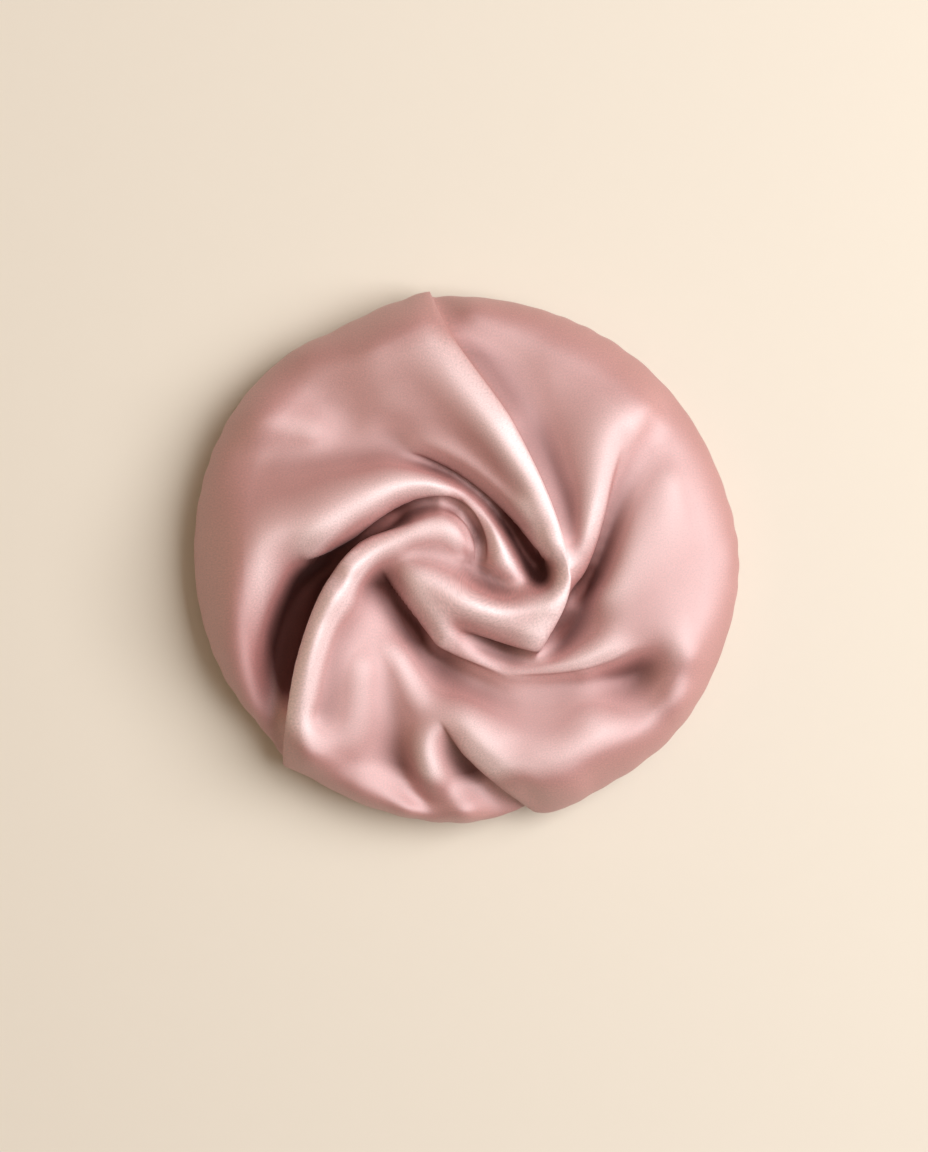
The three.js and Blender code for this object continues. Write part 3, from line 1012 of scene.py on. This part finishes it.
    def shade_and_highlight_masks(self, places: np.ndarray) -> tuple[np.ndarray, np.ndarray]:
        """The painted-shade and painted-highlight masks, from 0 to 1: how deep in a fold and how high on a
        ridge each place is.

        Args:
            places: The rings before lapping.

        Returns:
            The painted-shade mask from each place's depth and the painted-highlight mask from its height.
        """
        points = places.reshape(-1, 3)
        around = np.zeros(len(points))
        rows = self.around * self.top_rows
        for turn in np.linspace(0, 2 * math.pi, self.look_count, endpoint=False):
            x = points[:rows, 0] + self.look_radius * math.cos(turn)
            y = points[:rows, 1] + self.look_radius * math.sin(turn)
            around[:rows] += self.relief.height(x, y) / self.look_count
        below = around - points[:, 2]
        fade = np.clip((self.top_rows - np.arange(len(places))) / self.look_fade, 0, 1)
        below *= np.repeat(fade, self.around)
        deep = np.clip((below - self.painted_shade_start) / self.painted_shade_span, 0, 1)
        high = np.clip((-below - self.painted_highlight_start) / self.painted_highlight_span, 0, 1)
        return deep, high

    def faces(self, rows: int) -> list[tuple[int, ...]]:
        """Faces of the sheet: a fan round the middle, then a band between each two rings.

        Args:
            rows: How many rings there are.

        Returns:
            Vertex indices of each face, the middle being the first vertex.
        """
        faces: list[tuple[int, ...]] = []
        for k in range(self.around):
            after = (k + 1) % self.around
            faces.append((0, 1 + k, 1 + after))
            for row in range(rows - 1):
                here, there = 1 + row * self.around, 1 + (row + 1) * self.around
                faces.append((here + k, there + k, there + after, here + after))
        return faces

    def dress(self, piece: bpy.types.Object, before: np.ndarray) -> None:
        """Gives the sheet its painted-shade and painted-highlight masks, its cloth coordinates and its
        thickness.

        Args:
            piece: The sheet.
            before: The rings before lapping.
        """
        # Point masks for the painted shade and the painted highlight
        for name, value in zip(("painted_shade", "painted_highlight"), self.shade_and_highlight_masks(before)):
            layer = piece.data.attributes.new(name, "FLOAT", "POINT")
            layer.data.foreach_set("value", np.concatenate([[value[: self.around].mean()], value]))
        flat = flat_cloth(before)
        lay_cloth(piece, np.vstack([flat[0].mean(axis=0), flat.reshape(-1, 2)]) * MM)
        shell = piece.modifiers.new("cloth", "SOLIDIFY")
        shell.thickness = self.cloth * MM
        shell.offset = -1
        apply_modifiers(piece)

    def build(self) -> bpy.types.Object:
        """Builds the crown.

        Returns:
            The finished piece.
        """
        before = self.rings()
        places = self.lap(before)
        vertices = np.vstack([places[0].mean(axis=0), places.reshape(-1, 3)])
        piece = make_object("crown_satin", vertices, self.faces(len(places)), self.finish)
        self.dress(piece, before)
        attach(piece, "root")
        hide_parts("crown")
        return piece


@dataclass
class ElasticCasing:
    """The gathered satin tube round the elastic at the head opening. Sizes in mm."""

    finish: bpy.types.Material
    middle_radius: float = 82.5
    half_width: float = 2.3
    height: float = 13.0
    squareness: float = 0.55
    cloth_width: float = 32.0
    around: int = 1040
    section: int = 20
    ruches: int = 104
    ruche_drift: float = 1.3
    drift_waves: int = 7
    ruche_depth: float = 0.28
    ruche_dip: float = 0.05

    def rounded(self, wave: np.ndarray) -> np.ndarray:
        """A sine or cosine made flatter, for a section between a circle and a square."""
        return np.sign(wave) * np.abs(wave) ** self.squareness

    def sections(self, angle: np.ndarray, turn: np.ndarray) -> np.ndarray:
        """The tube's cross-sections.

        Args:
            angle: Angles around the head opening.
            turn: Angles around the tube.

        Returns:
            Places of each section in turn.
        """
        places = np.empty((self.around, self.section, 3))
        bulge = self.rounded(np.cos(turn))
        rise = self.rounded(np.sin(turn))
        for k, a in enumerate(angle):
            ruche = 0.5 + 0.5 * math.sin(self.ruches * a + self.ruche_drift * math.sin(self.drift_waves * a))
            swell = 1 - self.ruche_depth * ruche
            radius = self.middle_radius + self.half_width * swell * bulge
            z = self.height / 2 + self.height / 2 * rise * (1 - self.ruche_dip * ruche * (rise > 0))
            places[k] = np.column_stack([radius * math.cos(a), radius * math.sin(a), z])
        return places

    def faces(self) -> list[tuple[int, ...]]:
        """Faces between each section and the next.

        Returns:
            Vertex indices of each face.
        """
        faces: list[tuple[int, ...]] = []
        for k in range(self.around):
            here, there = k * self.section, (k + 1) % self.around * self.section
            for i in range(self.section):
                up = (i + 1) % self.section
                faces.append((here + i, there + i, there + up, here + up))
        return faces

    def build(self) -> bpy.types.Object:
        """Builds the casing.

        Returns:
            The finished piece.
        """
        angle = np.linspace(0, 2 * math.pi, self.around, endpoint=False)
        turn = np.linspace(0, 2 * math.pi, self.section, endpoint=False)
        places = self.sections(angle, turn).reshape(-1, 3)
        piece = make_object("elastic_casing_satin", places, self.faces(), self.finish)
        around = np.repeat(angle, self.section) * self.middle_radius * MM
        across = np.tile(turn, self.around) / (2 * math.pi) * (self.cloth_width * MM)
        lay_cloth(piece, np.column_stack([around, across]))
        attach(piece, "root")
        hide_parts("elastic_casing")
        return piece


@dataclass(frozen=True)
class Lamp:
    """A square soft light: place and side in metres, power in watts, linear colour."""

    name: str
    place: Point
    size: float
    power: float
    colour: tuple[float, float, float]

    def hang(self) -> None:
        """Hangs the light so that it faces the bonnet."""
        light = bpy.data.lights.new(self.name, "AREA")
        light.size = self.size
        light.energy = self.power
        light.color = self.colour
        holder = bpy.data.objects.new(self.name, light)
        bpy.context.collection.objects.link(holder)
        holder.location = self.place
        holder.rotation_euler = (-Vector(self.place)).to_track_quat("-Z", "Y").to_euler()


LAMPS = (
    Lamp("key_light", (1.75, 0.3, 2.15), 2.3, 112, (0.985, 0.985, 1.01)),
    Lamp("high_light", (0.5, 0.5, 2.6), 2.0, 6, (1.0, 0.97, 0.94)),
    Lamp("warm_fill", (-1.9, 0.1, 1.1), 1.6, 5, (1.0, 0.7, 0.4)),
)


@dataclass
class Studio:
    """Floor, lights and camera. Sizes in metres, apart from the sensor's, which is in mm."""

    floor_finish: bpy.types.Material
    floor_half: float = 3.0
    glow: Colour = (1.0, 0.8, 0.6, 1.0)
    glow_strength: float = 0.22
    camera_height: float = 1.5
    framed_level: float = 0.02
    frame_height: float = 0.633
    sensor: float = 36.0
    centre: tuple[float, float] = (-0.0022, -0.0093)

    def build_floor(self) -> None:
        """Lays the floor."""
        mesh = bpy.data.meshes.new("floor")
        half = self.floor_half
        corners = [(-half, -half, 0), (half, -half, 0), (half, half, 0), (-half, half, 0)]
        mesh.from_pydata(corners, [], [(0, 1, 2, 3)])
        mesh.materials.append(self.floor_finish)
        floor = bpy.data.objects.new("floor", mesh)
        bpy.context.collection.objects.link(floor)

    def build_lights(self) -> None:
        """Hangs the lights and sets the room's glow."""
        for lamp in LAMPS:
            lamp.hang()
        world = bpy.data.worlds.new("studio")
        world.use_nodes = True
        background = world.node_tree.nodes["Background"]
        background.inputs["Color"].default_value = self.glow
        background.inputs["Strength"].default_value = self.glow_strength
        bpy.context.scene.world = world

    def build_camera(self) -> None:
        """Sets the camera straight above the bonnet."""
        camera = bpy.data.cameras.new("camera")
        camera.sensor_fit = "VERTICAL"
        camera.sensor_height = self.sensor
        camera.lens = self.sensor * (self.camera_height - self.framed_level) / self.frame_height
        holder = bpy.data.objects.new("camera", camera)
        bpy.context.collection.objects.link(holder)
        holder.location = (self.centre[0], self.centre[1], self.camera_height)
        bpy.context.scene.camera = holder

    def build(self) -> None:
        """Builds the whole studio."""
        self.build_floor()
        self.build_lights()
        self.build_camera()
        bpy.context.scene.view_settings.view_transform = "Standard"


def main() -> None:
    """Builds every piece, then the studio."""
    logging.basicConfig(level=logging.INFO, format="%(name)s: %(message)s")
    satin = Satin().make()
    for piece in (Crown(satin).build(), ElasticCasing(satin).build()):
        LOG.info("%s: %d vertices, %d faces", piece.name, len(piece.data.vertices), len(piece.data.polygons))
    Studio(Plaster().make()).build()


if __name__ == "__main__":
    main()
